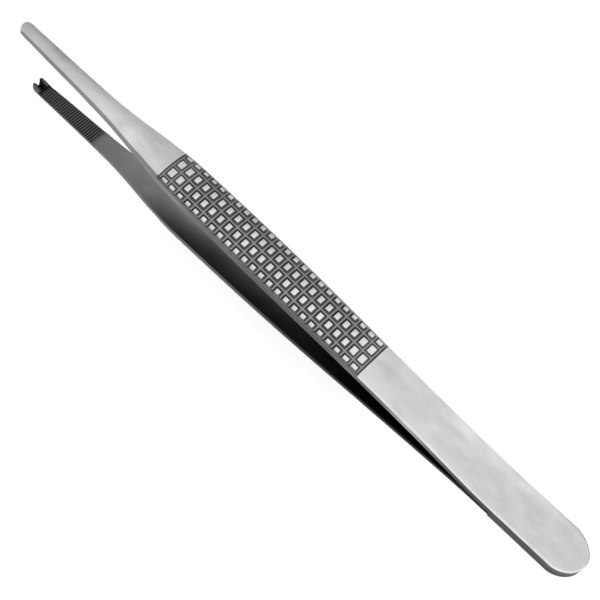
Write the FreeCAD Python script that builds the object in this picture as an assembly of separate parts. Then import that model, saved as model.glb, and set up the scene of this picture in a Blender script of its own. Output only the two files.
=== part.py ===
import FreeCAD, Part

import math
import os

from FreeCAD import Placement, Rotation, Vector

# Toothed thumb forceps: two sprung steel limbs, welded face to face at the heel.
# Each limb is drawn as the upper one, with x from the tip to the heel, y across it, and z
# up from the plane where the limbs meet. The lower limb is the same form turned over.
# All sizes are in millimetres.

# Lengths along a limb, from the tip: jaw, taper, grip, waist, throat and weld
jaw_length = 29.0
taper_length = 23.3
shoulder_length = 5.6
waist_length = 16.0
throat_length = 25.12
weld_length = 22.5

# Widths of the outer face
tip_width = 3.5
jaw_width = 5.0
grip_front_width = 10.15
grip_width = 10.8
waist_width = 10.1
heel_width = 10.6

# Heights of the side walls, and the crown that the outer face rises above them
tip_edge = 1.3
jaw_edge = 1.8
grip_front_edge = 2.6
grip_edge = 2.7
waist_edge = 2.15
heel_edge = 2.2
jaw_crown = 0.7
grip_crown = 0.8
waist_crown = 0.2
heel_crown = 0.06
heel_flat_depth = 0.05
side_flare = 0.15
rim_bevel = 0.3
grip_rim_bevel = 0.5

# Half of the gap between the inner faces
tip_gap = 11.25
bend_gap = 4.6
throat_gap = 2.4
weld_gap = 0.2

# Rounded ends, seen from above
nose_apex = 0.25
nose_round = 0.8
nose_chamfer = 1.5
fork_nose_round = 0.6
fork_setback = 0.35
heel_round = 6.4
end_curve_points = 9

# Square grip pads, left between trapezoidal grooves
pad_columns = 24
pad_rows = 4
column_pitch = 2.67
row_pitch = 3.09
groove_floor = 0.35
groove_depth = 0.45
end_groove_depth = 0.3
groove_wall_slope = 1.3

# Cross serrations on the inner faces of the jaws
serration_start = 3.9
serration_count = 27
serration_pitch = 0.787
serration_depth = 0.3

# Teeth at the tips: a fork on the lower limb and one tooth on the upper limb
tooth_height = 1.6
tooth_length = 3.3
tooth_front = 0.1
tooth_crest = 0.5
tooth_root = 0.6
fork_width = 3.5
prong_lean = 0.3
notch_length = 2.1
notch_width = 1.6
notch_sink = 0.35
tooth_clearance = 0.12
tooth_crest_width = 0.6
tooth_back_width = 0.2

# Cutting tools reach this far past the faces that they cut, and the weld land sinks this far in
overcut = 1.0
land_sink = 0.3

grip_start = jaw_length + taper_length
shoulder_end = grip_start + shoulder_length
grip_end = grip_start + pad_columns * column_pitch
throat_front = grip_end + waist_length
weld_front = throat_front + throat_length
overall_length = weld_front + weld_length


def smooth(x, knots):
    """Value at x of the smooth curve through the knots, a list of (x, value) in order of x.

    Past its ends the curve runs on straight."""
    slopes = [(b[1] - a[1]) / (b[0] - a[0]) for a, b in zip(knots, knots[1:])]
    tangents = [slopes[0]]
    for before, after in zip(slopes, slopes[1:]):
        tangents.append(0.0 if before * after <= 0 else 2 * before * after / (before + after))
    tangents.append(slopes[-1])
    if x <= knots[0][0]:
        return knots[0][1] + (x - knots[0][0]) * tangents[0]
    if x >= knots[-1][0]:
        return knots[-1][1] + (x - knots[-1][0]) * tangents[-1]
    i = max(k for k in range(len(slopes)) if knots[k][0] <= x)
    (x0, v0), (x1, v1) = knots[i], knots[i + 1]
    span = x1 - x0
    t = (x - x0) / span
    return ((1 + 2 * t) * (1 - t) ** 2 * v0 + t * (1 - t) ** 2 * span * tangents[i]
            + t * t * (3 - 2 * t) * v1 + t * t * (t - 1) * span * tangents[i + 1])


def half_width(x):
    """Half of the outer face's width."""
    middle = (grip_start + grip_end) / 2
    knots = [(0, tip_width), (jaw_length, jaw_width), (shoulder_end, grip_front_width),
             (middle, grip_width), (throat_front, waist_width), (weld_front, heel_width),
             (overall_length, heel_width)]
    return smooth(x, knots) / 2


def side_at(x):
    """Furthest reach of the side wall across the limb, at the foot of the wall."""
    return half_width(x) + side_flare


def edge_height(x):
    """Height of the side wall above the inner face."""
    middle = (grip_start + grip_end) / 2
    knots = [(0, tip_edge), (jaw_length, jaw_edge), (shoulder_end, grip_front_edge),
             (middle, grip_edge), (throat_front, waist_edge), (overall_length, heel_edge)]
    return smooth(x, knots)


def crown_height(x):
    """Rise of the outer face above its two long edges."""
    knots = [(0, jaw_crown), (jaw_length, jaw_crown), (shoulder_end, grip_crown),
             (grip_end, waist_crown), (weld_front, heel_crown), (overall_length, heel_crown)]
    return smooth(x, knots)


def rim_size(x):
    """Size of the bevel between the outer face and a side wall, larger along the grip."""
    knots = [(0, rim_bevel), (jaw_length, rim_bevel), (grip_start, grip_rim_bevel),
             (grip_end, grip_rim_bevel), (throat_front, rim_bevel), (overall_length, rim_bevel)]
    return smooth(x, knots)


def inner_height(x):
    """Height of the inner face above the plane where the limbs meet."""
    bend = grip_end - 3 * column_pitch
    middle = (shoulder_end + bend) / 2
    middle_gap = tip_gap + (bend_gap - tip_gap) * middle / bend
    knots = [(0, tip_gap), (middle, middle_gap), (bend, bend_gap), ((bend + weld_front) / 2, throat_gap),
             (weld_front, weld_gap), (overall_length, weld_gap)]
    return smooth(x, knots)


def crown_radius(x):
    """Radius of the arc that the outer face makes across the limb."""
    half = half_width(x)
    rise = crown_height(x)
    return (half * half + rise * rise) / (2 * rise)


def outer_height(x, y=0.0):
    """Height of the outer face at a place across the limb."""
    radius = crown_radius(x)
    drop = radius - math.sqrt(radius * radius - y * y)
    return inner_height(x) + edge_height(x) + crown_height(x) - drop


def slope_angle(height, x):
    """Angle in degrees by which a height falls towards the heel."""
    step = 0.5
    return math.degrees(math.atan2(height(x - step) - height(x + step), 2 * step))


def limb_section(x):
    """Closed outline across the limb: flat inner face, leaning sides, bevelled rims and crown."""
    half = half_width(x)
    base = inner_height(x)
    edge = base + edge_height(x)
    rim = rim_size(x)
    lean = side_flare * rim / edge_height(x)
    foot = Vector(x, half + side_flare, base)
    side = Vector(x, half + lean, edge - rim)
    shoulder = Vector(x, half - rim, outer_height(x, half - rim))
    top = Vector(x, 0, outer_height(x))

    def across(point):
        return Vector(point.x, -point.y, point.z)

    edges = [Part.LineSegment(across(foot), foot).toShape(),
             Part.LineSegment(foot, side).toShape(),
             Part.LineSegment(side, shoulder).toShape(),
             Part.Arc(shoulder, top, across(shoulder)).toShape(),
             Part.LineSegment(across(shoulder), across(side)).toShape(),
             Part.LineSegment(across(side), across(foot)).toShape()]
    return Part.Wire(edges)


def stations():
    """Places along the limb where its section is drawn, closer together where it bends."""
    marks = [0.0, jaw_length, grip_start, shoulder_end, grip_end, throat_front, weld_front, overall_length]
    parts = [4, 4, 1, 6, 3, 5, 5]
    places = [-overcut, 0.0]
    for start, end, count in zip(marks, marks[1:], parts):
        places += [start + (end - start) * k / count for k in range(1, count + 1)]
    return places + [overall_length + overcut]


def end_trim(apex, reach, aside):
    """Tool that rounds one half of an end to a quarter of an ellipse, seen from above.

    The ellipse runs from the apex, a point (x, y) at the very end, to the side at y = aside, and reaches that
    far back along the limb, towards greater x at the tip. The tool is a block past the end without it."""
    end_x, middle = apex
    direction = -1 if end_x < overall_length / 2 else 1
    turn = 1 if aside > middle else -1
    half = abs(aside - middle)
    round_off = []
    for k in range(end_curve_points):
        angle = math.pi / 2 * k / (end_curve_points - 1)
        back = reach * (1 - math.cos(angle))
        round_off.append(Vector(end_x - direction * back, middle + turn * half * math.sin(angle), 0))
    wide = aside + turn * 2 * overcut
    past = end_x + direction * 3 * overcut
    curve = Part.BSplineCurve()
    curve.interpolate(round_off)
    path = [round_off[-1], Vector(round_off[-1].x, wide, 0), Vector(past, wide, 0), Vector(past, middle, 0),
            round_off[0]]
    edges = [Part.LineSegment(a, b).toShape() for a, b in zip(path, path[1:])]
    face = Part.Face(Part.Wire([curve.toShape()] + edges))
    low = min(0.0, inner_height(end_x) - tooth_height) - overcut
    face.translate(Vector(0, 0, low))
    return face.extrude(Vector(0, 0, outer_height(end_x) + 2 * overcut - low))


def trimmed(body, tools):
    """Body with each tool cut away in turn."""
    for tool in tools:
        body = body.cut(tool)
    return body


def heel_face_height():
    """Height of the heel's flat outer face."""
    return outer_height(overall_length) - heel_flat_depth


def heel_flat():
    """Tool that takes the top off the crown, to leave a flat face on the heel."""
    half = heel_width / 2 + overcut
    return Part.makeBox(weld_length + overcut, 2 * half, overcut, Vector(weld_front, -half, heel_face_height()))


def weld_land():
    """Thin raised land on the inner face of the heel, where the two limbs are welded."""
    half = side_at(overall_length)
    return Part.makeBox(weld_length + overcut, 2 * half, weld_gap + land_sink, Vector(weld_front, -half, 0))


def trapezoid(depth):
    """Corners (across, up) of a groove's section about the surface that it is cut in."""
    low = groove_floor / 2
    high = low + (depth + overcut) * groove_wall_slope
    return [(-low, -depth), (low, -depth), (high, overcut), (-high, overcut)]


def closed_wire(points):
    return Part.makePolygon(points + [points[0]])


def groove_place(column):
    """Place along the limb of the groove in front of a column of pads."""
    return grip_start + column * column_pitch


def depth_at(x):
    """Depth of the grooves, which run out a little at both ends of the grip."""
    knots = [(grip_start, end_groove_depth), (grip_start + 3 * column_pitch, groove_depth),
             (grip_end - 3 * column_pitch, groove_depth), (grip_end, end_groove_depth)]
    return smooth(x, knots)


def cross_groove(x):
    """Groove across the grip, turned about the centre of the crown so that its floor is arched."""
    radius = crown_radius(x)
    sweep = math.degrees((half_width(x) + overcut) / radius)
    profile = [Vector(across, 0, radius + up) for across, up in trapezoid(depth_at(x))]
    face = Part.Face(closed_wire(profile))
    face.rotate(Vector(0, 0, 0), Vector(1, 0, 0), -sweep)
    tool = face.revolve(Vector(0, 0, 0), Vector(1, 0, 0), 2 * sweep)
    tool.Placement = Placement(Vector(x, 0, outer_height(x) - radius),
                               Rotation(Vector(0, 1, 0), slope_angle(outer_height, x)),
                               Vector(0, 0, 0)).multiply(tool.Placement)
    return tool


def long_groove(y):
    """Groove along the grip at one place across it, square to the crown there."""
    places = [grip_start, grip_start + 3 * column_pitch, (grip_start + grip_end) / 2,
              grip_end - 3 * column_pitch, grip_end]
    wires = []
    for x in places:
        turn = math.asin(y / crown_radius(x))
        points = []
        for across, up in trapezoid(depth_at(x)):
            points.append(Vector(x, y + across * math.cos(turn) + up * math.sin(turn),
                                 outer_height(x, y) - across * math.sin(turn) + up * math.cos(turn)))
        wires.append(closed_wire(points))
    return Part.makeLoft(wires, True, False)


def grip_grooves():
    tools = [cross_groove(groove_place(column)) for column in range(pad_columns + 1)]
    middle = (pad_rows - 2) / 2
    tools += [long_groove((row - middle) * row_pitch) for row in range(pad_rows - 1)]
    return tools


def serration_rack():
    """Row of V cuts along the inner face of the jaw."""
    half = jaw_width
    points = []
    for k in range(serration_count):
        x = serration_start + k * serration_pitch
        points.append(Vector(x - serration_pitch / 2, -half, inner_height(x - serration_pitch / 2)))
        points.append(Vector(x, -half, inner_height(x) + serration_depth))
    x = serration_start + (serration_count - 0.5) * serration_pitch
    points.append(Vector(x, -half, inner_height(x)))
    points.append(Vector(x, -half, inner_height(x) - overcut))
    x = serration_start - serration_pitch / 2
    points.append(Vector(x, -half, inner_height(x) - overcut))
    return Part.Face(closed_wire(points)).extrude(Vector(0, 2 * half, 0))


def fork():
    """Block on the inner face at the tip that the two prongs are left from, narrower towards its crest."""
    front = fork_setback + tooth_front

    def outline(start, end, half, z):
        return closed_wire([Vector(start, -half, z), Vector(end, -half, z), Vector(end, half, z),
                            Vector(start, half, z)])

    foot = outline(front, tooth_length, fork_width / 2, inner_height(0) + tooth_root)
    crest = outline(front + prong_lean / 2, front + tooth_crest, fork_width / 2 - prong_lean,
                    inner_height(0) - tooth_height)
    return Part.makeLoft([foot, crest], True, True)


def fork_notch():
    """V notch, open at the tip, that the tooth of the other limb enters."""
    floor = inner_height(0) + notch_sink
    end = fork_setback + notch_length
    mouth = notch_width / 2 * (end + overcut) / (notch_length - tooth_front)
    points = [Vector(end, 0, floor), Vector(-overcut, mouth, floor), Vector(-overcut, -mouth, floor)]
    return Part.Face(closed_wire(points)).extrude(Vector(0, 0, -tooth_height - notch_sink - overcut))


def single_tooth():
    """Wedge-shaped tooth in the middle of the tip, a running fit in the fork's notch."""
    root = inner_height(0) + tooth_root
    crest = inner_height(0) - tooth_height + tooth_clearance

    def outline(back, width, z):
        front_half = width / 2
        back_half = min(front_half, tooth_back_width / 2)
        return closed_wire([Vector(tooth_front, -front_half, z), Vector(back, -back_half, z),
                            Vector(back, back_half, z), Vector(tooth_front, front_half, z)])

    foot = outline(notch_length - tooth_clearance, notch_width - 2 * tooth_clearance, root)
    edge = outline(tooth_front + tooth_crest, tooth_crest_width, crest)
    return Part.makeLoft([foot, edge], True, True)


def grooved_limb():
    """Limb with its grip, its serrations and its rounded heel, with the tip still square."""
    bar = Part.makeLoft([limb_section(x) for x in stations()], True, False)
    heel_side = side_at(overall_length)
    heel_trims = [end_trim((overall_length, 0.0), heel_round, turn * heel_side) for turn in (-1, 1)]
    return trimmed(bar.fuse(weld_land()), heel_trims).cut(grip_grooves() + [serration_rack(), heel_flat()])


def upper_limb(blank):
    """Limb with a blunt nose, cut off more on its left than on its right, and the single tooth."""
    apex = (0.0, nose_apex)
    trims = [end_trim(apex, nose_round, -side_at(nose_round)),
             end_trim(apex, nose_chamfer, side_at(nose_chamfer))]
    return trimmed(blank, trims).fuse(single_tooth()).Solids[0]


def lower_limb(blank):
    """Limb with the fork, set back a little so that the other limb's tip overhangs it."""
    side = side_at(fork_setback + fork_nose_round)
    trims = [end_trim((fork_setback, 0.0), fork_nose_round, turn * side) for turn in (-1, 1)]
    body = trimmed(blank.fuse(fork()), [fork_notch()] + trims).Solids[0]
    body.rotate(Vector(0, 0, 0), Vector(1, 0, 0), 180)
    return body


def resting_slope():
    """Slope of the floor when the forceps lie on the lower limb's heel end and grip."""
    heel = heel_face_height()
    places = [grip_start + k * column_pitch for k in range(pad_columns)]
    return max((outer_height(x) - heel) / (overall_length - x) for x in places)


def lay_down(shapes):
    """Turn the forceps onto the floor, with the floor's origin below the middle of their box."""
    tilt = math.degrees(math.atan(resting_slope()))
    for shape in shapes:
        shape.rotate(Vector(0, 0, 0), Vector(0, 1, 0), tilt)
    box = Part.makeCompound(shapes).optimalBoundingBox(False, False)
    for shape in shapes:
        shape.translate(Vector(-box.Center.x, -box.Center.y, -box.ZMin))
    print("tilt %.4f moved by %.4f, %.4f, %.4f" % (tilt, -box.Center.x, -box.Center.y, -box.ZMin))
    print("overall %.2f by %.2f by %.2f" % (box.XLength, box.YLength, box.ZLength))


def main():
    os.makedirs("parts", exist_ok=True)
    blank = grooved_limb()
    nodes = {"upper_limb": upper_limb(blank), "lower_limb": lower_limb(blank)}
    lay_down(list(nodes.values()))
    for name, shape in nodes.items():
        print(name, "solids", len(shape.Solids), "valid", shape.isValid(), "volume %.1f" % shape.Volume)
        shape.exportStep("parts/%s.step" % name)


main()
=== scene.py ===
"""Thumb forceps in satin steel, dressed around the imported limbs.

Each limb is one closed surface worked out on a grid. The forms are drawn in millimetres as the upper
limb, with x from the tip to the heel, y across and z up from the plane where the limbs meet, and are
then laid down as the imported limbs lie.
"""
import math

import bpy
import numpy as np
from mathutils import Matrix, Vector


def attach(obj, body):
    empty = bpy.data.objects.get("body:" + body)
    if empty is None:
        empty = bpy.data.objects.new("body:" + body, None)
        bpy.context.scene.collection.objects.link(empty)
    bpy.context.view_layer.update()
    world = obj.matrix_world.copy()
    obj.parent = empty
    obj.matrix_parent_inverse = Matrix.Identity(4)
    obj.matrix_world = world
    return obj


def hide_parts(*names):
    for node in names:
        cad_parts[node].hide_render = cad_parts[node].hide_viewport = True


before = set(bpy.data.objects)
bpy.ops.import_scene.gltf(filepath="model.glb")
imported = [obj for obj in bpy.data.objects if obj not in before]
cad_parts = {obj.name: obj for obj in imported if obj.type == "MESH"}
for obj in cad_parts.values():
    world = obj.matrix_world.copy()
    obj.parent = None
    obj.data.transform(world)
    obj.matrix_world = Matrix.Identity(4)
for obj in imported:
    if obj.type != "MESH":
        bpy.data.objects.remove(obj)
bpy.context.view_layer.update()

# Form of a limb: (place along it, value) in millimetres
LENGTH = 180.0
HALF_WIDTHS = [(0, 1.75), (29, 2.5), (57.9, 5.075), (84.34, 5.4), (132.38, 5.05), (157.5, 5.3), (180, 5.3)]
EDGE_HEIGHTS = [(0, 1.3), (29, 1.8), (57.9, 2.6), (84.34, 2.7), (132.38, 2.15), (180, 2.2)]
CROWNS = [(0, 0.68), (29, 0.7), (57.9, 0.8), (116.38, 0.2), (157.5, 0.06), (180, 0.06)]
INNER_HEIGHTS = [(0, 11.25), (83.135, 6.1486), (108.37, 4.6), (132.935, 2.4), (157.5, 0.2), (180, 0.2)]
BELLY = [(0, -0.15), (4, 0.1), (12, 0.32), (29, 0.25), (58, 0.0), (180, 0.0)]
SIDE_FLARE = 0.14
RIMS = [(0, 0.35), (45, 0.35), (52, 0.55), (116, 0.55), (124, 0.3), (180, 0.3)]
FOOT_RIM = 0.1
WELD_FRONT = 157.5
HEEL_FLAT = 0.05
HEEL_FLAT_RUN = 8
THROAT_WAIST = 0.25
THROAT_LEAD = 4
THROAT_RUN = 30

# Rounded ends, seen from above: place of the apex along and across, then the reach and the power of the
# curve on the right of it, and those on the left
UPPER_ENDS = ((-0.4, 0.35, 0.8, 1.5, 1.7, 1.8), (179.85, 0.0, 6.7, 2.0, 8.0, 2.0))
LOWER_ENDS = ((0.35, 0.0, 0.6, 2.0, 0.6, 2.0), (179.85, 0.0, 8.0, 2.0, 6.7, 2.0))
FAR = 20.0  # further out than any side, and further along than any end reaches

# Checkered grip
GRIP_START = 52.3
GRIP_END = 116.38
COLUMN_PITCH = 2.67
ROW_PITCH = 3.09
COLUMNS = 24
GROOVE_FLOOR = 0.15
GROOVE_SLOPE = 1.35
GROOVE_SOFT = 0.05
GROOVE_DEPTHS = [(52.3, 0.3), (60.31, 0.45), (108.37, 0.45), (116.38, 0.3)]
GROOVE_MARGIN = 0.05
GROOVE_FADE = 0.35

# Serrations of the jaw
SERRATION_START = 3.9
SERRATION_PITCH = 0.755
SERRATIONS = 27
SERRATION_DEPTH = 0.3

# Teeth. The prongs rise over a short run, which starts a little in front of the tip
TOOTH_HEIGHT = 1.6
TOOTH_CREST = 0.6
TOOTH_LENGTH = 3.3
TOOTH_SLOPE = 0.5
TOOTH_CLEARANCE = 0.12
NOTCH_LENGTH = 2.7
NOTCH_HALF = 0.8
NOTCH_SINKS = (1.0, 0.3)
NOTCH_END_RUN = 0.3
PRONG_ROUNDS = (0.3, 0.5)
PRONG_LEAN = 0.22
PRONG_LEAD = 0.15
PRONG_RUN = 0.4

# Stations of the mesh along a limb: counts, spacings and places
TIP_STATIONS = 16
BLUNT_SHARE = 0.05  # the share of the tip's reach that its flat front takes off
TEETH_SPACING = 0.12
STATIONS_PER_SERRATION = 6
JAW_PLACES = (25.0, GRIP_START - 1.0, 0.9)  # first, end and spacing
REAR_LEAD = 1.6
REAR_SPACING = 1.5
LAND_STEP = 0.01
HEEL_STATIONS = 28
HEEL_SHARES = (0.05, 0.995)  # of the quarter turn that rounds the heel

# Lines of the mesh: beside the middle of each groove, elsewhere on the outer face, along the rims, and
# down the sides as shares of the height
GROOVE_LINES = np.array((0.08, 0.15, 0.23, 0.48, 0.68, 0.75, 0.82))
PAD_LINES = (-1.3, -1.8, 1.3, 1.8, 4.1, -4.1, 4.3, -4.3)
LINES_HALF = 4.45
RIM_LINES = np.array((0.0, 0.02, 0.06, 0.12, 0.2, 0.3, 0.42, 0.55))
RIM_LINES_FULL_HALF = 1.6
SIDE_LINES = (0.25, 0.5, 0.75)

# Tones of the steel's colour, with painted light and shade in them as noted for each: (place along the limb,
# value)
# Outer face: the steel's own tone, with painted light and shade in how it rises and falls along the limb
OUTER_TONES = [(0, 0.7), (15, 0.74), (25, 0.85), (39, 0.97), (45, 0.87), (51, 0.86), (53, 0.9), (116, 0.9),
               (118, 0.74), (180, 0.74)]
# Side walls: painted shade, on the lower limb deepening to near black just in front of the weld
UPPER_SIDE_SHADE_TONES = [(0, 0.28), (50, 0.28), (58, 0.27), (65, 0.18), (75, 0.165), (88, 0.135), (108, 0.135),
                    (115, 0.2), (120, 0.14), (125, 0.22), (132, 0.42), (140, 0.165), (150, 0.09),
                    (157, 0.09), (168, 0.1), (180, 0.16)]
LOWER_SIDE_SHADE_TONES = [(0, 0.17), (20, 0.18), (30, 0.23), (40, 0.22), (60, 0.18), (80, 0.1), (100, 0.042),
                    (120, 0.033), (135, 0.01), (157.4, 0.005), (157.6, 0.075), (180, 0.08)]
# Inner faces: painted shade, near black on the jaw and darker towards the rear
INNER_SHADE_TONES = [(0, 0.012), (23.2, 0.015), (24.2, 0.27), (27, 0.33), (42, 0.34), (50, 0.24), (60, 0.15),
               (70, 0.12), (80, 0.11), (90, 0.075), (100, 0.04), (115, 0.017), (157.4, 0.01), (157.6, 0.1),
               (180, 0.12)]
# Groove walls and floors: painted shade
GROOVE_WALL_SHADE_TONE = 0.085
GROOVE_FLOOR_SHADE_TONE = 0.36
# Grip's rims: painted shade, deeper on one side than the other
GRIP_RIM_SHADE_TONES = (0.16, 0.3)
# Serration crests: painted highlight, up to the end of the crests
CREST_HIGHLIGHT = 0.2
CRESTS_END = 24.2
# Prongs: painted highlight away from the notch
PRONG_HIGHLIGHT = 0.12
FRONT_TONES = (0.28, 0.15)
# Painted shade across the side walls, deeper towards the outer rim
SIDE_SHADE_RANGE = (0.85, 0.25)
# Lower inner face: a painted reflection that rises across the grip
INNER_REFLECTION_RISE = 1.6
INNER_REFLECTION_MIDDLE = 0.45

# Shares of painted highlight and painted shade laid over the tones above
REAR_RIM_HIGHLIGHT = 0.08
FLANK_HIGHLIGHT = 0.13
HEEL_RIM_SHADE = 0.5
JAW_RIM_SHADE = 0.7
THROAT_RIM_SHADE = 0.97
CREASE_SHADE = 0.8

# Steel: cloudy mottling (turn, stretch and strength) and fine grain
CLOUD_TURN = 0.35
CLOUD_SCALES = (150.0, 300.0, 150.0)
CLOUD_SHARES = (0.86, 1.1)
CLOUD_ROUGHNESSES = (0.36, 0.46)
NOISE_MIDDLE = (0.3, 0.7)
SPECULAR_TINT = (0.6, 0.6, 0.6, 1)
BLUE_SHARE = 1.01
GRAIN_SCALE = 2500.0

# How the limbs lie
TILT = math.radians(4.1534)
MOVE = np.array((-89.5462, 0.0, 15.4404))

# Camera of the photograph in the design frame, in millimetres
CAMERA_PLACE = np.array((161.9, -96.5, 251.4))
CAMERA_RIGHT = np.array((0.7109, 0.6989, 0.0784))
CAMERA_DOWN = np.array((0.6591, -0.6232, -0.4210))
CAMERA_LENS = 72.0

# Light and floor, in metres and watts
FLOOR_HALF = 3.0
FLOOR_COLOUR = (0.95, 0.95, 0.95, 1)
FLOOR_GLOW = 0.47
WORLD_LEVEL = 0.66
WORLD_FADE = 0.4
WORLD_SIDE = (0.77, -0.55, 0.33)
LAMP_PLACE = (0.35, 0.1, 0.9)
LAMP_SIZE = 1.0
LAMP_POWER = 0.6


def smooth(x, knots):
    """Hermite curve through the knots with harmonic-mean slopes, which runs on straight past its ends."""
    kx, kv = np.array(knots, float).T
    slopes = np.diff(kv) / np.diff(kx)
    product = slopes[:-1] * slopes[1:]
    total = slopes[:-1] + slopes[1:]
    inner = np.where(product > 0, 2 * product / np.where(product > 0, total, 1.0), 0.0)
    tangents = np.concatenate((slopes[:1], inner, slopes[-1:]))
    i = np.clip(np.searchsorted(kx, x, side="right") - 1, 0, len(slopes) - 1)
    span = kx[i + 1] - kx[i]
    t = (x - kx[i]) / span
    curve = ((1 + 2 * t) * (1 - t) ** 2 * kv[i] + t * (1 - t) ** 2 * span * tangents[i]
             + t * t * (3 - 2 * t) * kv[i + 1] + t * t * (t - 1) * span * tangents[i + 1])
    before = kv[0] + (x - kx[0]) * tangents[0]
    after = kv[-1] + (x - kx[-1]) * tangents[-1]
    return np.where(x < kx[0], before, np.where(x > kx[-1], after, curve))


def ramp(t, soft):
    """Zero below, t above, with a parabola of half-length soft between them."""
    return np.where(t < -soft, 0.0, np.where(t > soft, t, (t + soft) ** 2 / (4 * soft)))


def step(t):
    """Smooth step from 0 at t = 0 to 1 at t = 1."""
    t = np.clip(t, 0.0, 1.0)
    return t * t * (3 - 2 * t)


def rise(value, start, run):
    """Smooth step from 0 at the start to 1 a run above it."""
    return step((value - start) / run)


def fall(value, end, run):
    """Smooth step from 1 a run below the end to 0 at the end."""
    return step((end - value) / run)


def groove(distance, depth):
    """Depth of a groove with a flat floor and sloping walls, softened at its four edges."""
    wall = (GROOVE_FLOOR - distance) / GROOVE_SLOPE
    return ramp(depth + wall, GROOVE_SOFT) - ramp(wall, GROOVE_SOFT)


def cross_depth(x):
    """Depth of the grooves across the grip, one pitch apart."""
    column = np.clip(np.round((x - GRIP_START) / COLUMN_PITCH), 0, COLUMNS)
    return groove(np.abs(x - GRIP_START - column * COLUMN_PITCH), smooth(x, GROOVE_DEPTHS))


def long_depth(x, y):
    """Depth of the three grooves along the grip, which end in its first and last cross grooves."""
    row = np.clip(np.round(y / ROW_PITCH), -1, 1)
    inside = np.where((x >= GRIP_START) & (x <= GRIP_END), 1.0, 0.0)
    return inside * groove(np.abs(y - row * ROW_PITCH), smooth(x, GROOVE_DEPTHS))


def serration_depth(x):
    """Depth of the V cuts across the jaw: a triangle wave."""
    phase = (x - SERRATION_START) / SERRATION_PITCH + 0.5
    inside = np.where((phase > 0) & (phase < SERRATIONS), 1.0, 0.0)
    distance = np.abs(phase - np.floor(phase) - 0.5) * 2
    return inside * SERRATION_DEPTH * (1 - distance)


def end_axes(end, y):
    """Half-axes along and across, and power, of the quarter curve that rounds an end on the side where y is.

    A power of two makes an ellipse, one above two a squarer curve and one below two a flatter curve."""
    place, middle = end[:2]
    reach = np.where(y > middle, end[4], end[2])
    side = smooth(place + np.where(place < LENGTH / 2, reach, -reach), HALF_WIDTHS) + SIDE_FLARE
    return reach, np.where(y > middle, side - middle, side + middle), np.where(y > middle, end[5], end[3])


def outline(x, ends):
    """Reach of the outline to the right and to the left, as y: quarter curves at the ends, free between."""
    sides = []
    for turn in (-1.0, 1.0):
        y = turn * np.full_like(x, FAR)
        for end in ends:
            reach, half, power = end_axes(end, turn * FAR)
            distance = np.abs(x - end[0])
            past = 1 - distance / reach
            across = np.clip(1 - np.clip(past, 0.0, 1.0) ** power, 0.0, 1.0) ** (1 / power)
            y = np.where((past > 0) & (distance < FAR), end[1] + turn * half * across, y)
        sides.append(y)
    return sides


def rim_distance(x, y, ends):
    """Distance from a place on the outer face to the outline: to the straight side or to an end's curve."""
    distance = smooth(x, HALF_WIDTHS) - np.abs(y)
    tiny = 1e-9
    for end in ends:
        reach, half, power = end_axes(end, y)
        along = np.maximum(reach - np.abs(x - end[0]), 0.0) / reach
        across = np.abs(y - end[1]) / half
        rho = (along ** power + across ** power) ** (1 / power) + tiny
        pull = np.hypot(along ** (power - 1) / reach, across ** (power - 1) / half)
        slope = pull * rho ** (1 - power) + tiny
        distance = np.where(along > 0, np.minimum(distance, (1 - rho) / slope), distance)
    return np.maximum(distance, 0.0)


def outer_face(x, y, ends):
    """Height of the outer face: side height, plus an arc across, less the rounded rim and the grooves."""
    half = smooth(x, HALF_WIDTHS)
    crown = smooth(x, CROWNS)
    radius = (half * half + crown * crown) / (2 * crown)
    arc = crown - radius + np.sqrt(radius * radius - y * y)
    flat = crown - HEEL_FLAT * rise(x, WELD_FRONT - HEEL_FLAT_RUN, HEEL_FLAT_RUN)
    size = smooth(x, RIMS)
    inset = np.clip(size - rim_distance(x, y, ends), 0.0, size)
    rim = size - np.sqrt(size * size - inset * inset)
    cut = np.maximum(cross_depth(x), long_depth(x, y)) * fall(np.abs(y), half - GROOVE_MARGIN, GROOVE_FADE)
    return smooth(x, INNER_HEIGHTS) + smooth(x, EDGE_HEIGHTS) + np.minimum(arc, flat) - rim - cut


def notch_half(x, front):
    """Half-width of the V notch that opens at the front."""
    return NOTCH_HALF * np.clip((front + NOTCH_LENGTH - x) / NOTCH_LENGTH, 0.0, 1.0)


def fork_face(x, y, ends, base):
    """Height of the lower limb's inner face with the fork on it.

    The fork falls in a straight line from its crest to the jaw. Each prong is a horn whose height drops with
    the third power of the distance from its middle line. The prongs stand apart over a V notch, whose floor
    rises towards the heel."""
    front = ends[0][0]
    slope = np.clip((TOOTH_LENGTH - x) / (TOOTH_LENGTH - front - TOOTH_CREST), 0.0, 1.0)
    edge = np.minimum(smooth(x, HALF_WIDTHS) + SIDE_FLARE, outline(x, ends)[1]) - FOOT_RIM
    wall = notch_half(x, front)
    across = np.clip((np.abs(y) - wall) / np.maximum(edge - wall, 0.1), 0.0, 1.0)
    off_middle = 2 * across - 1
    horn = 1 - np.where(off_middle < 0, *PRONG_ROUNDS) * np.abs(off_middle) ** 3
    prongs = base - TOOTH_HEIGHT * slope * rise(x, front - PRONG_LEAD, PRONG_RUN) * horn
    inside = np.clip(1.05 - np.abs(y) / np.maximum(wall, 0.01), 0.0, 1.0)
    inside = inside * fall(x, front + NOTCH_LENGTH, NOTCH_END_RUN)
    sink = NOTCH_SINKS[1] + (NOTCH_SINKS[0] - NOTCH_SINKS[1]) * wall / NOTCH_HALF
    return prongs + (INNER_HEIGHTS[0][1] + sink - prongs) * inside


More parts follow.
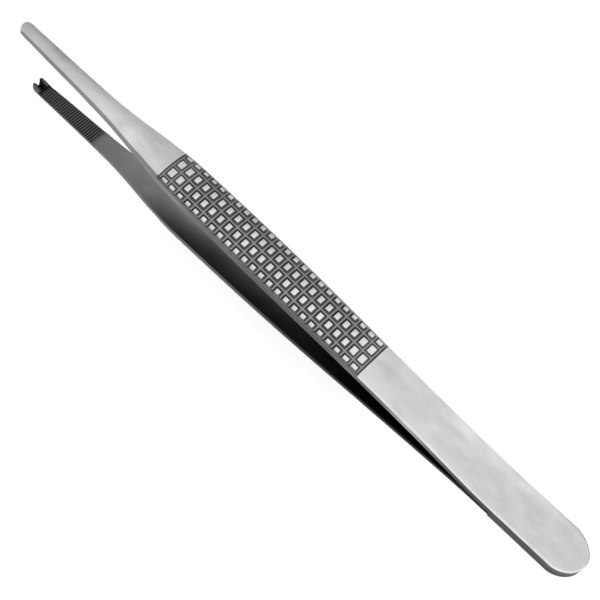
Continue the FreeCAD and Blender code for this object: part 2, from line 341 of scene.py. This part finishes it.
def tooth_face(x, y, base):
    """Height of the upper limb's inner face with the single tooth on it.

    The tooth is a wedge with sloping flanks, which narrows and falls towards the heel."""
    root = np.maximum(notch_half(x, 0.0) - TOOTH_CLEARANCE, 1e-3)
    flank = np.clip((root - np.abs(y)) / (TOOTH_SLOPE * root), 0.0, 1.0)
    slope = np.clip((NOTCH_LENGTH - TOOTH_CLEARANCE - x) / (NOTCH_LENGTH - TOOTH_CREST), 0.0, 1.0)
    return base - (TOOTH_HEIGHT - TOOTH_CLEARANCE) * flank * slope


def inner_face(x, y, ends, forked):
    """Height of the inner face: the bent strip, the serrations, the weld land, and the teeth at the tip."""
    base = smooth(x, INNER_HEIGHTS) - smooth(x, BELLY) + serration_depth(x)
    base = np.where(x > WELD_FRONT, 0.0, base)
    return fork_face(x, y, ends, base) if forked else tooth_face(x, y, base)


def stations(ends):
    """Places along the limb where the grid has a ring: close at the ends, serrations and grooves."""
    start, reach = ends[0][0], max(ends[0][2::2])
    end, heel_reach = ends[1][0], max(ends[1][2::2])
    tip = start + reach * (1 - np.cos(np.linspace(0.0, math.pi / 2, TIP_STATIONS)))
    tip = tip[tip > start + BLUNT_SHARE * reach]
    teeth = np.arange(start + reach + 0.1, SERRATION_START - SERRATION_PITCH / 2, TEETH_SPACING)
    count = SERRATIONS * STATIONS_PER_SERRATION + 1
    serrations = SERRATION_START + (np.arange(count) / STATIONS_PER_SERRATION - 0.5) * SERRATION_PITCH
    jaw = np.arange(*JAW_PLACES)
    offsets = np.concatenate((-GROOVE_LINES[::-1], (0.0,), GROOVE_LINES))
    grip = (GRIP_START + np.arange(COLUMNS + 1)[:, None] * COLUMN_PITCH + offsets).ravel()
    rear = np.arange(GRIP_END + REAR_LEAD, end - heel_reach, REAR_SPACING)
    land = WELD_FRONT + np.array((-LAND_STEP, LAND_STEP))
    heel = end - heel_reach * (1 - np.sin(np.linspace(*HEEL_SHARES, HEEL_STATIONS) * math.pi / 2))
    return np.unique(np.round(np.concatenate((tip, teeth, serrations, jaw, grip, rear, land, heel)), 3))


def outer_lines(x, ends):
    """Places across the outer face, one row per station.

    In the grip they stay beside the three long grooves, and elsewhere they spread with the width. The last
    eight on each side follow the rounded rim."""
    offsets = np.concatenate((-GROOVE_LINES[::-1], GROOVE_LINES))
    grooves = (np.arange(-1, 2)[:, None] * ROW_PITCH + offsets).ravel()
    lines = np.sort(np.concatenate((grooves, PAD_LINES)))
    half = smooth(x, HALF_WIDTHS)
    right, left = (np.clip(reach, -half, half) for reach in outline(x, ends))
    middle, half = (left + right) / 2, (left - right) / 2
    narrow = np.clip(half / RIM_LINES_FULL_HALF, 0.0, 1.0)
    stretch = (half - RIM_LINES[-1] * narrow) / LINES_HALF
    away = np.where(x < GRIP_START, fall(x, GRIP_START - 0.6, 1.5), rise(x, GRIP_END + 0.6, 3.0))
    between = lines * (1 + (stretch - 1) * away)[:, None]
    rim = half[:, None] - RIM_LINES * narrow[:, None]
    return middle[:, None] + np.concatenate((-rim, between, rim[:, ::-1]), axis=1)


def inner_lines(x, ends, count):
    """Places across the inner face, one row per station, close beside the walls of the notch at the tip.

    On each side two fifths of the lines lie inside the notch, one fifth beside its wall and the rest outside.
    Behind the notch they spread out evenly."""
    half = smooth(x, HALF_WIDTHS) + SIDE_FLARE
    right, left = (np.clip(reach, -half, half) for reach in outline(x, ends))
    side = np.linspace(0.02, 1.0, count // 2)
    front = max(ends[0][0], 0.0)
    behind = rise(x, front + NOTCH_LENGTH, 1.2)
    beside = 0.05
    places = []
    for reach in (left - FOOT_RIM, -right - FOOT_RIM):
        wall = np.maximum(notch_half(x, front), beside) * (1 - behind) + 0.5 * reach * behind
        width = beside + (0.1 * reach - beside) * behind
        marks = np.stack((np.zeros_like(x), wall - width, wall + width, reach))
        marks = np.minimum(np.maximum.accumulate(np.maximum(marks, 0.0), axis=0), reach)
        places.append(np.stack([np.interp(side, (0.0, 0.4, 0.6, 1.0), marks[:, i]) for i in range(len(x))]))
    return np.concatenate((-places[1][:, ::-1], places[0]), axis=1)


def throat(x):
    """How far a place is in the throat: 0 at the grip, rising to 1 just in front of the weld, 0 behind it."""
    return rise(x, GRIP_END + THROAT_LEAD, THROAT_RUN) * np.where(x < WELD_FRONT, 1.0, 0.0)


def limb_grid(ends, forked):
    """Points of a limb, stations by ring, with the tone of each, painted light and shade included.

    Each ring runs across the outer face, down one side, back across the inner face and up the other side.
    The foot of each side is rounded by two points."""
    x = stations(ends)
    column = x[:, None]
    top_y = outer_lines(x, ends)
    top_z = outer_face(column, top_y, ends)
    low_y = inner_lines(x, ends, top_y.shape[1])
    low_z = inner_face(column, low_y, ends, forked)
    down = np.array(SIDE_LINES)
    sides = []
    for k, turn in ((-1, 1.0), (0, -1.0)):
        start_y, start_z = top_y[:, k, None], top_z[:, k, None]
        foot_y = low_y[:, k, None] + turn * FOOT_RIM
        foot_z = low_z[:, k, None] + FOOT_RIM
        y = np.concatenate((start_y + (foot_y - start_y) * down,
                            foot_y - turn * FOOT_RIM * np.array((0.0, 0.3))), axis=1)
        z = np.concatenate((start_z + (foot_z - start_z) * down,
                            foot_z - FOOT_RIM * np.array((0.0, 0.7))), axis=1)
        sides.append((y, z))
    (left_y, left_z), (right_y, right_z) = sides
    ring_y = np.concatenate((top_y, left_y, low_y[:, ::-1], right_y[:, ::-1]), axis=1)
    ring_z = np.concatenate((top_z, left_z, low_z[:, ::-1], right_z[:, ::-1]), axis=1)
    along = np.broadcast_to(column, ring_y.shape)
    if forked:
        ring_y = ring_y * (1 - THROAT_WAIST / HALF_WIDTHS[-1][1] * throat(column))
        stands = np.clip((INNER_HEIGHTS[0][1] - ring_z) / TOOTH_HEIGHT, 0.0, 1.0)
        along = along - PRONG_LEAN * stands * fall(along, TOOTH_LENGTH, TOOTH_LENGTH)
    points = np.stack((along, ring_y, ring_z), axis=2)
    side = side_tone(column, np.array((*SIDE_LINES, 1.0, 1.0)), forked)
    tones = np.concatenate((outer_tone(column, top_y, ends, forked), side,
                            inner_tone(column, low_y[:, ::-1], forked), side[:, ::-1]), axis=1)
    return points, tones, top_y.shape[1], side.shape[1]


def outer_tone(x, y, ends, forked):
    """Tone of the outer face: the steel's own, with painted light and shade.

    It is bright on top, with painted shade on groove walls, on groove floors and on the grip's rims. The rims
    of the lower limb carry painted shade in the throat, where the other limb shades them. On the upper limb
    the rims behind the grip and the left flank of the waist carry a painted highlight, and the rims of the
    jaw's right side and of the heel's left side painted shade."""
    cut = np.maximum(cross_depth(x), long_depth(x, y)) / smooth(x, GROOVE_DEPTHS)
    wall = step(12 * cut) * step(7 * (1 - cut))
    bottom = step(cut * 2 - 1)
    tone = smooth(x, OUTER_TONES) + np.zeros_like(y)
    # Painted shade on groove floors and walls
    tone = tone + (GROOVE_FLOOR_SHADE_TONE - tone) * bottom
    tone = tone + (GROOVE_WALL_SHADE_TONE - tone) * wall
    edge = rim_distance(x, y, ends)
    # Painted shade on the grip's rims
    grip_rim = rise(x, GRIP_START - 1, 1) * fall(x, GRIP_END + 1, 1) * fall(edge, 0.62, 0.2)
    tone = tone + (np.where(y > 0, GRIP_RIM_SHADE_TONES[1], GRIP_RIM_SHADE_TONES[0]) - tone) * grip_rim
    if forked:
        # Painted shade on the rims in the throat, where the other limb shades them
        return tone * (1 - THROAT_RIM_SHADE * fall(edge, 0.6, 0.3) * throat(x))
    # Painted highlight on the rims behind the grip and on the left flank, painted shade on the rims of the
    # jaw's right side and of the heel's left side
    rear_rim = rise(x, GRIP_END + 1, 3) * fall(edge, 0.6, 0.2)
    flank = rise(x, 118, 6) * fall(x, 172, 8) * rise(y, 1.5, 2.5)
    heel_rim = rise(x, 164, 10) * rise(y, -1.0, 3) * fall(edge, 0.32, 0.12)
    reach = 0.27 + 0.2 * rise(x, 40, 10)
    jaw_rim = rise(x, 0, 1.2) * fall(x, GRIP_START + 0.3, 1) * fall(y, 0, 0.5) * fall(edge, reach, 0.17)
    tone = tone * (1 + REAR_RIM_HIGHLIGHT * rear_rim) * (1 + FLANK_HIGHLIGHT * flank)
    return tone * (1 - HEEL_RIM_SHADE * heel_rim) * (1 - JAW_RIM_SHADE * jaw_rim)


def side_tone(x, t, forked):
    """Tone of the side walls, darkened with painted shade, a little more towards the outer rim. t is 0 there
    and 1 at the foot.
    """
    # Painted shade on the side walls
    tone = smooth(x, LOWER_SIDE_SHADE_TONES if forked else UPPER_SIDE_SHADE_TONES)
    return tone * (SIDE_SHADE_RANGE[0] + SIDE_SHADE_RANGE[1] * t)


def inner_tone(x, y, forked):
    """Tone of the inner face, darkened with painted shade: dark on the jaw, with painted highlights on the
    serration crests, and darker to the rear.

    On the lower limb a painted reflection rises as a power across the grip, the prongs carry a painted
    highlight away from the notch, and painted shade lies in the crease beside the notch.
    The foremost ring is as bright as the blunt front that runs down to it, and the last as bright as the
    sides."""
    depth = serration_depth(x)
    crest = np.where(depth > 0, 1 - depth / SERRATION_DEPTH, 0.0)
    # Painted shade along the inner face, with painted highlights on the serration crests
    tone = smooth(x, INNER_SHADE_TONES) + CREST_HIGHLIGHT * crest ** 2 * fall(x, CRESTS_END, 0.2) + np.zeros_like(y)
    tone = np.where(x <= x.min(), FRONT_TONES[1] if forked else FRONT_TONES[0], tone)
    tone = np.where(x >= x.max(), side_tone(x, 1.0, forked), tone)
    if not forked:
        return tone
    front = LOWER_ENDS[0][0]
    across = np.clip(-y / smooth(x, HALF_WIDTHS), -1.0, 0.1)
    middle = rise(x, 42, 18) * fall(x, 104, 12)
    horns = rise(np.abs(y), 0.7, 0.8) * fall(x, TOOTH_LENGTH, 0.8)
    crease = fall(np.abs(y), notch_half(x, front) + 0.2, 0.15)
    crease = crease * np.where(x < front + NOTCH_LENGTH, 1.0, 0.0)
    # Painted reflection rising across the lower limb's grip
    tone = tone * np.exp(INNER_REFLECTION_RISE * middle * (across + INNER_REFLECTION_MIDDLE))
    # Painted highlight on the prongs, and painted shade in the crease beside the notch
    return (tone + PRONG_HIGHLIGHT * horns) * (1 - CREASE_SHADE * crease)


def lay_down(points, turned):
    """Points of the design frame laid down in the row's frame, in metres. A turned limb is rolled over."""
    if turned:
        points = points * (1, -1, -1)
    x, y, z = points[..., 0], points[..., 1], points[..., 2]
    along = x * math.cos(TILT) + z * math.sin(TILT)
    up = z * math.cos(TILT) - x * math.sin(TILT)
    return (np.stack((along, y, up), axis=-1) + MOVE) / 1000


def grid_faces(rows, ring, across, side):
    """Quads between the rings, and at each end quads between its outer and inner faces."""
    i = np.arange(rows - 1)[:, None] * ring
    k = np.arange(ring)
    after = (k + 1) % ring
    quads = np.stack((i + k, i + ring + k, i + ring + after, i + after), axis=-1).reshape(-1, 4)
    faces = quads.tolist()
    top = np.arange(across)
    low = across + side + np.arange(across)[::-1]
    for start, flip in ((0, False), ((rows - 1) * ring, True)):
        caps = np.stack((top[1:-2], top[2:-1], low[2:-1], low[1:-2]), axis=-1).tolist()
        right = [top[-2], *range(across - 1, across + side), low[-1], low[-2]]
        left = [top[1], low[1], low[0], *range(across + side + across, ring), top[0]]
        for face in caps + [right, left]:
            face = [start + int(v) for v in face]
            faces.append(face[::-1] if flip else face)
    return faces


def limb_object(name, forked):
    """One limb as a closed mesh, smooth but for its flat ends, with its tone, painted light and shade
    included, as an attribute.
    """
    points, tones, across, side = limb_grid(LOWER_ENDS if forked else UPPER_ENDS, forked)
    rows, ring = tones.shape
    mesh = bpy.data.meshes.new(name)
    corners = lay_down(points, forked).reshape(-1, 3).tolist()
    mesh.from_pydata(corners, [], grid_faces(rows, ring, across, side))
    mesh.polygons.foreach_set("use_smooth", np.arange(len(mesh.polygons)) < (rows - 1) * ring)
    layer = mesh.attributes.new("tone", "FLOAT", "POINT")
    layer.data.foreach_set("value", tones.ravel().astype(np.float32))
    mesh.update()
    piece = bpy.data.objects.new(name, mesh)
    bpy.context.scene.collection.objects.link(piece)
    return piece


def node(tree, kind, **values):
    """A node of the tree with its properties and the defaults of its named inputs set."""
    made = tree.nodes.new(kind)
    for key, value in values.items():
        if key in made.inputs:
            made.inputs[key].default_value = value
        else:
            setattr(made, key, value)
    return made


def maths(tree, operation, *terms, clamp=False):
    """Result of a math node on its terms, each a number or the output of another node."""
    made = node(tree, "ShaderNodeMath", operation=operation, use_clamp=clamp)
    for socket, term in zip(made.inputs, terms):
        if isinstance(term, float):
            socket.default_value = term
        else:
            tree.links.new(term, socket)
    return made.outputs[0]


def spread(tree, source, low, high):
    """The middle of a noise's range spread from low to high."""
    made = tree.nodes.new("ShaderNodeMapRange")
    limits = (NOISE_MIDDLE[0], NOISE_MIDDLE[1], low, high)
    for key, value in zip(("From Min", "From Max", "To Min", "To Max"), limits):
        made.inputs[key].default_value = value
    tree.links.new(source, made.inputs["Value"])
    return made.outputs["Result"]


def satin_steel(name):
    """Brushed satin steel: the tone attribute, painted light and shade included, sets its colour, under cloudy
    mottling and fine grain.
    """
    material = bpy.data.materials.new(name)
    material.use_nodes = True
    tree = material.node_tree
    link = tree.links.new
    shader = tree.nodes["Principled BSDF"]
    shader.inputs["Metallic"].default_value = 1.0
    shader.inputs["Specular Tint"].default_value = SPECULAR_TINT
    where = node(tree, "ShaderNodeTexCoord")
    tone = node(tree, "ShaderNodeAttribute", attribute_name="tone")
    turned = node(tree, "ShaderNodeMapping", Rotation=(0.0, 0.0, CLOUD_TURN), Scale=CLOUD_SCALES)
    link(where.outputs["Object"], turned.inputs["Vector"])
    clouds = node(tree, "ShaderNodeTexNoise", Scale=1.0, Detail=4.0, Roughness=0.55)
    link(turned.outputs["Vector"], clouds.inputs["Vector"])
    shade = maths(tree, "MULTIPLY", tone.outputs["Fac"], spread(tree, clouds.outputs["Fac"], *CLOUD_SHARES))
    colour = node(tree, "ShaderNodeCombineColor")
    link(shade, colour.inputs["Red"])
    link(shade, colour.inputs["Green"])
    link(maths(tree, "MULTIPLY", shade, BLUE_SHARE), colour.inputs["Blue"])
    link(colour.outputs["Color"], shader.inputs["Base Color"])
    link(spread(tree, clouds.outputs["Fac"], *CLOUD_ROUGHNESSES), shader.inputs["Roughness"])
    grain = node(tree, "ShaderNodeTexNoise", Scale=GRAIN_SCALE, Detail=2.0)
    link(where.outputs["Object"], grain.inputs["Vector"])
    bump = node(tree, "ShaderNodeBump", Strength=0.05, Distance=0.0001)
    link(grain.outputs["Fac"], bump.inputs["Height"])
    link(bump.outputs["Normal"], shader.inputs["Normal"])
    return material


def floor_material():
    """Matt white floor with the object's shadow, plus an even glow for the camera and reflections alone."""
    material = bpy.data.materials.new("floor white")
    material.use_nodes = True
    tree = material.node_tree
    tree.nodes.remove(tree.nodes["Principled BSDF"])
    matt = node(tree, "ShaderNodeBsdfDiffuse", Color=FLOOR_COLOUR)
    glow = node(tree, "ShaderNodeEmission")
    path = node(tree, "ShaderNodeLightPath").outputs
    seen = maths(tree, "ADD", path["Is Camera Ray"], path["Is Glossy Ray"], clamp=True)
    seen = maths(tree, "ADD", seen, path["Is Transmission Ray"], clamp=True)
    tree.links.new(maths(tree, "MULTIPLY", seen, FLOOR_GLOW), glow.inputs["Strength"])
    both = node(tree, "ShaderNodeAddShader")
    tree.links.new(matt.outputs[0], both.inputs[0])
    tree.links.new(glow.outputs[0], both.inputs[1])
    tree.links.new(both.outputs[0], tree.nodes["Material Output"].inputs["Surface"])
    return material


def floor():
    """Square floor at z = 0, far wider than the view."""
    mesh = bpy.data.meshes.new("floor")
    corners = [(FLOOR_HALF * x, FLOOR_HALF * y, 0) for x, y in ((-1, -1), (1, -1), (1, 1), (-1, 1))]
    mesh.from_pydata(corners, [], [(0, 1, 2, 3)])
    mesh.materials.append(floor_material())
    plate = bpy.data.objects.new("floor", mesh)
    bpy.context.scene.collection.objects.link(plate)


def camera():
    """Camera at the photograph's place: position, axis to the right and axis down the picture."""
    data = bpy.data.cameras.new("camera")
    data.sensor_width = 36.0
    data.lens = CAMERA_LENS
    data.clip_start = 0.01
    turn = np.array(((math.cos(TILT), 0, math.sin(TILT)), (0, 1, 0), (-math.sin(TILT), 0, math.cos(TILT))))
    x_axis = Vector(turn @ CAMERA_RIGHT).normalized()
    y_axis = -Vector(turn @ CAMERA_DOWN)
    z_axis = x_axis.cross(y_axis).normalized()
    y_axis = z_axis.cross(x_axis)
    matrix = Matrix((x_axis, y_axis, z_axis)).transposed().to_4x4()
    matrix.translation = Vector((turn @ CAMERA_PLACE + MOVE) / 1000)
    seat = bpy.data.objects.new("camera", data)
    seat.matrix_world = matrix
    bpy.context.scene.collection.objects.link(seat)
    bpy.context.scene.camera = seat


def lamp():
    """Square area lamp above the forceps, aimed at them."""
    data = bpy.data.lights.new("key", "AREA")
    data.size = LAMP_SIZE
    data.energy = LAMP_POWER
    holder = bpy.data.objects.new("key", data)
    aim = (-Vector(LAMP_PLACE)).to_track_quat("-Z", "Y").to_matrix().to_4x4()
    aim.translation = Vector(LAMP_PLACE)
    holder.matrix_world = aim
    bpy.context.scene.collection.objects.link(holder)


def world_light():
    """Pale surroundings that fade evenly from the heel's side of the picture to the far side."""
    world = bpy.data.worlds.new("surroundings")
    bpy.context.scene.world = world
    world.use_nodes = True
    tree = world.node_tree
    background = tree.nodes["Background"]
    background.inputs["Color"].default_value = (1, 1, 1, 1)
    where = node(tree, "ShaderNodeTexCoord")
    side = node(tree, "ShaderNodeVectorMath", operation="DOT_PRODUCT")
    side.inputs[1].default_value = WORLD_SIDE
    tree.links.new(where.outputs["Generated"], side.inputs[0])
    level = maths(tree, "MULTIPLY_ADD", side.outputs["Value"], WORLD_FADE, WORLD_LEVEL)
    tree.links.new(level, background.inputs["Strength"])


upper = limb_object("upper_limb_dressed", False)
lower = limb_object("lower_limb_dressed", True)
for piece, stands_for, slot in ((upper, "upper_limb", "upper_steel"), (lower, "lower_limb", "lower_steel")):
    piece.data.materials.append(satin_steel(slot))
    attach(piece, "root")
    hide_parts(stands_for)

floor()
camera()
world_light()
lamp()

bpy.context.scene.view_settings.view_transform = "Standard"
